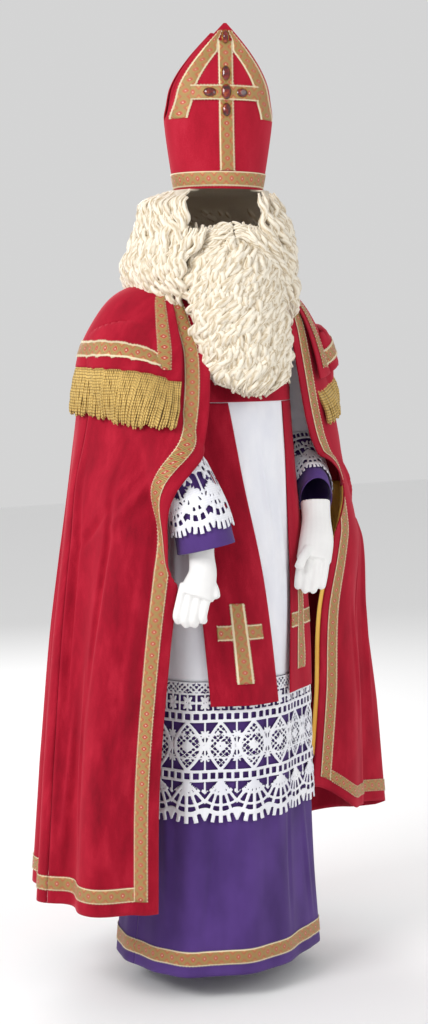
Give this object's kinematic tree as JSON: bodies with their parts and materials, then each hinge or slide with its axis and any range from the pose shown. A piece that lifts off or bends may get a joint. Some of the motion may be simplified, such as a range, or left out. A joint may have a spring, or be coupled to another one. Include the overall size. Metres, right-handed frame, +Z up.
{
  "type": "saint nicholas costume",
  "caption": "Bishop's costume as worn, empty: pointed mitre, curly wig and beard, lined cope with fringed cape, stole, lace rochet, cassock and gloves.",
  "frame": {"origin": "centre of the neck opening, where the neck and shoulders hold the costume", "axes": "+Z up, -Y the front of the costume, +X the wearer's left"},
  "size_m": [0.9179, 0.5936, 2.0102],
  "materials": {
    "red_velveteen": "short dense pile, soft sheen",
    "red_felt": "stiff matt felt",
    "yellow_satin": "satin weave, smooth sheen",
    "purple_cotton": "plain weave, matt",
    "white_cotton": "fine plain weave, matt",
    "guipure_lace": "corded openwork",
    "woven_braid": "jacquard ribbon with metallic thread",
    "bullion_fringe": "twisted metallic yarn",
    "curly_hair": "synthetic fibre in soft curls",
    "glove_cotton": "fine jersey knit",
    "cut_glass": "faceted and polished"
  },
  "bodies": {
    "root": {"cassock_front": "purple_cotton", "cassock_back": "purple_cotton", "rochet_front": "white_cotton", "rochet_back": "white_cotton", "cassock_sleeve_right": "purple_cotton", "rochet_sleeve_right": "white_cotton", "cassock_sleeve_left": "purple_cotton", "rochet_sleeve_left": "white_cotton", "cope_front_right": "red_velveteen", "cope_back": "red_velveteen", "cope_front_left": "red_velveteen", "cope_braid_right": "woven_braid", "cope_braid_left": "woven_braid", "cope_hem_braid_right": "woven_braid", "cope_hem_braid_back": "woven_braid", "cope_hem_braid_left": "woven_braid", "cope_lining": "yellow_satin", "cape_right": "red_velveteen", "cape_braid_right": "woven_braid", "cape_left": "red_velveteen", "cape_braid_left": "woven_braid", "cape_fringe_right": "bullion_fringe", "cape_fringe_left": "bullion_fringe", "cassock_hem_braid_front": "woven_braid", "cassock_hem_braid_back": "woven_braid", "stole_yoke": "red_velveteen", "stole_panel_right": "red_velveteen", "stole_cross_right": "woven_braid", "stole_panel_left": "red_velveteen", "stole_cross_left": "woven_braid", "hem_lace_front": "guipure_lace", "hem_lace_back": "guipure_lace", "sleeve_lace_right_upper": "guipure_lace", "sleeve_lace_right_lower": "guipure_lace", "sleeve_lace_left_upper": "guipure_lace", "sleeve_lace_left_lower": "guipure_lace", "mitre_front": "red_felt", "mitre_edge_braid_front": "woven_braid", "mitre_back": "red_felt", "mitre_edge_braid_back": "woven_braid", "mitre_upright_bar": "woven_braid", "mitre_cross_bar": "woven_braid", "mitre_band": "woven_braid", "mitre_crown": "red_felt", "mitre_gem_top": "cut_glass", "mitre_gem_upper": "cut_glass", "mitre_gem_centre": "cut_glass", "mitre_gem_right": "cut_glass", "mitre_gem_left": "cut_glass", "mitre_gem_lower": "cut_glass", "wig": "curly_hair", "beard": "curly_hair", "moustache": "curly_hair", "glove_right": "glove_cotton", "glove_left": "glove_cotton"}
  },
  "joints": []
}
